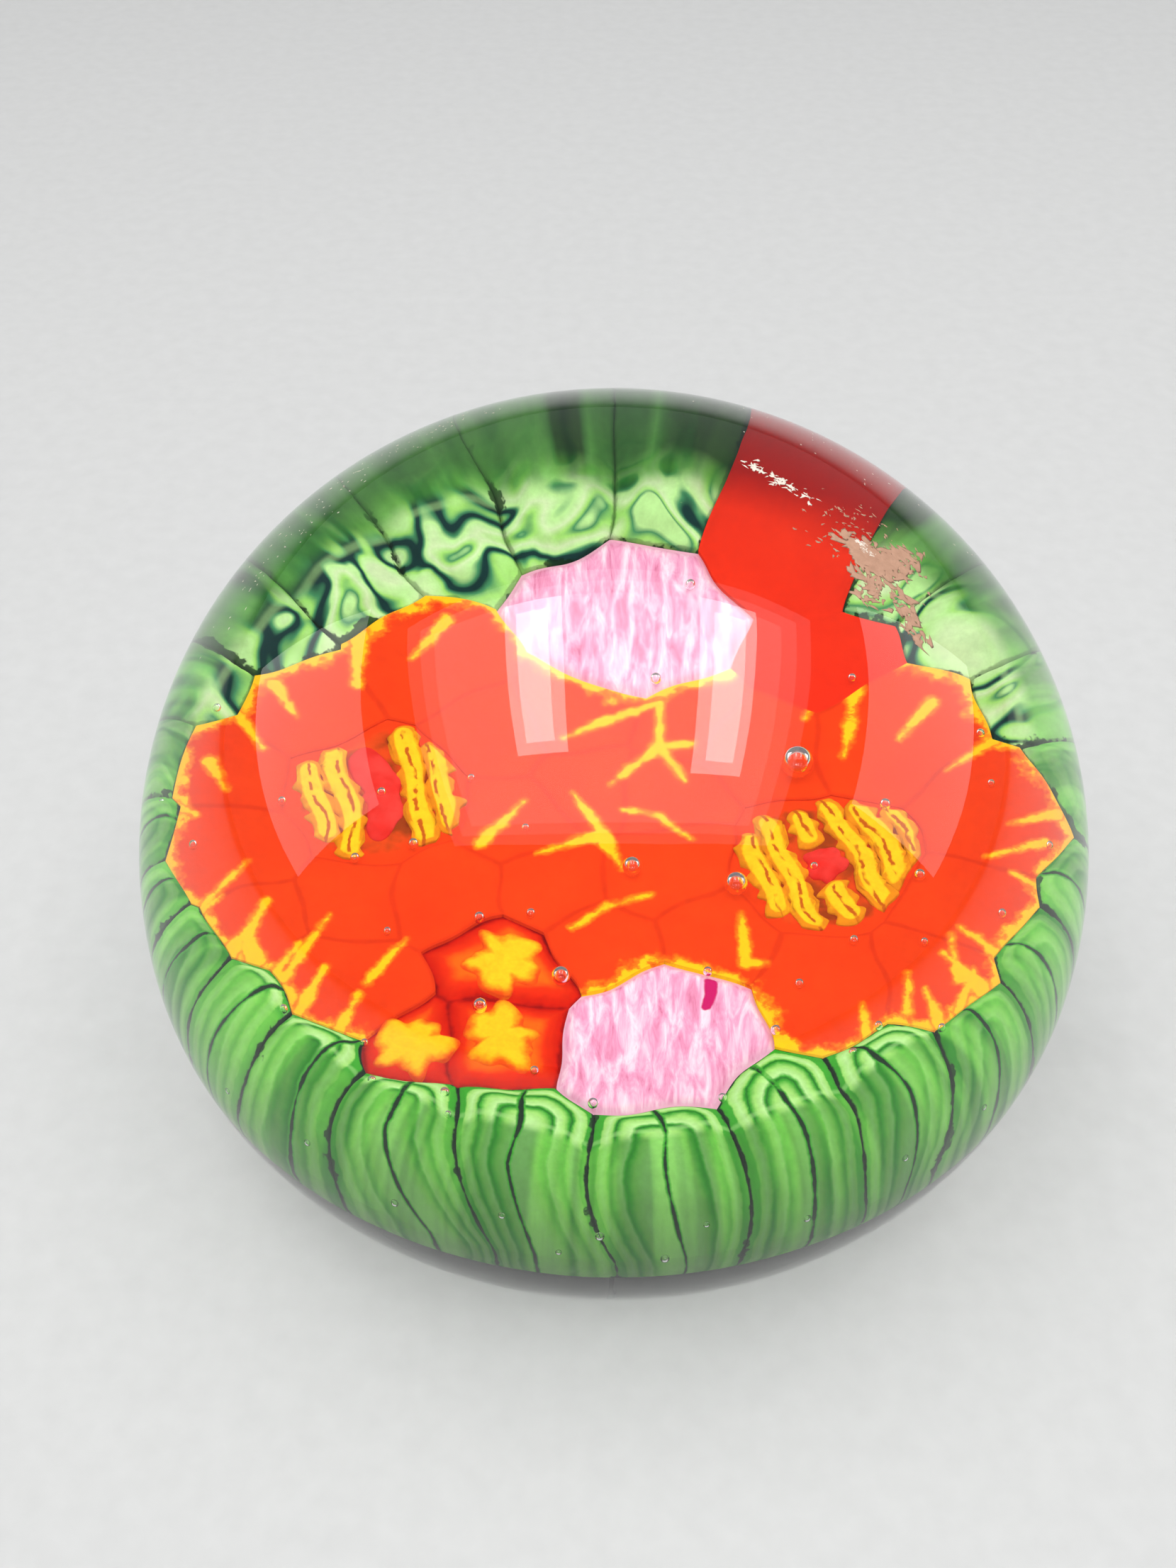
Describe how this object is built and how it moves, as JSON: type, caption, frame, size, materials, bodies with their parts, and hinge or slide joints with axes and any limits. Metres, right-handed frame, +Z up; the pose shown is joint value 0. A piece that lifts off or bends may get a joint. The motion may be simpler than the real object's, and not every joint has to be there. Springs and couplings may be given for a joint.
{
  "type": "glass paperweight",
  "caption": "Domed clear glass paperweight with a flat foot, holding a fused bundle of coloured flower, leaf and striped glass canes.",
  "frame": {"origin": "centre of the flat foot, on the surface it rests on", "axes": "+Z up through the crown of the dome, +Y towards the back where the plain red cane reaches the rim, +X to the right seen from the front"},
  "size_m": [0.07, 0.07, 0.0517],
  "materials": {
    "clear_crystal": "polished clear crystal glass",
    "leaf_green_glass": "glossy fused glass in concentric lime and green bands",
    "petal_orange_glass": "glossy fused orange-red glass with yellow seams",
    "heart_brown_glass": "glossy fused amber-brown glass",
    "stamen_yellow_glass": "glossy fused yellow glass",
    "pistil_crimson_glass": "glossy fused crimson glass",
    "pink_fibre_glass": "glossy fused pink glass with white threads",
    "red_glass": "glossy fused red glass",
    "core_yellow_glass": "glossy fused yellow glass"
  },
  "bodies": {
    "root": {"base_gather": "clear_crystal", "crystal_casing": "clear_crystal", "leaf_cane_01": "leaf_green_glass", "leaf_cane_02": "leaf_green_glass", "leaf_cane_03": "leaf_green_glass", "leaf_cane_04": "leaf_green_glass", "leaf_cane_05": "leaf_green_glass", "leaf_cane_06": "leaf_green_glass", "leaf_cane_07": "leaf_green_glass", "leaf_cane_08": "leaf_green_glass", "leaf_cane_09": "leaf_green_glass", "leaf_cane_10": "leaf_green_glass", "leaf_cane_11": "leaf_green_glass", "leaf_cane_12": "leaf_green_glass", "leaf_cane_13": "leaf_green_glass", "leaf_cane_14": "leaf_green_glass", "leaf_cane_15": "leaf_green_glass", "leaf_cane_16": "leaf_green_glass", "leaf_cane_17": "leaf_green_glass", "leaf_cane_18": "leaf_green_glass", "leaf_cane_19": "leaf_green_glass", "leaf_cane_20": "leaf_green_glass", "leaf_cane_21": "leaf_green_glass", "leaf_cane_22": "leaf_green_glass", "leaf_cane_23": "leaf_green_glass", "leaf_cane_24": "leaf_green_glass", "left_flower_heart": "heart_brown_glass", "left_flower_petals": "petal_orange_glass", "left_flower_pistil": "pistil_crimson_glass", "left_flower_stamens": "stamen_yellow_glass", "middle_flower_petals": "petal_orange_glass", "pink_cane_back": "pink_fibre_glass", "pink_cane_front": "pink_fibre_glass", "red_cane_back": "red_glass", "right_flower_heart": "heart_brown_glass", "right_flower_petals": "petal_orange_glass", "right_flower_pistil": "pistil_crimson_glass", "right_flower_stamens": "stamen_yellow_glass", "small_cane_left_coat": "red_glass", "small_cane_left_core": "core_yellow_glass", "small_cane_middle_coat": "red_glass", "small_cane_middle_core": "core_yellow_glass", "small_cane_right_coat": "red_glass", "small_cane_right_core": "core_yellow_glass"}
  },
  "joints": []
}
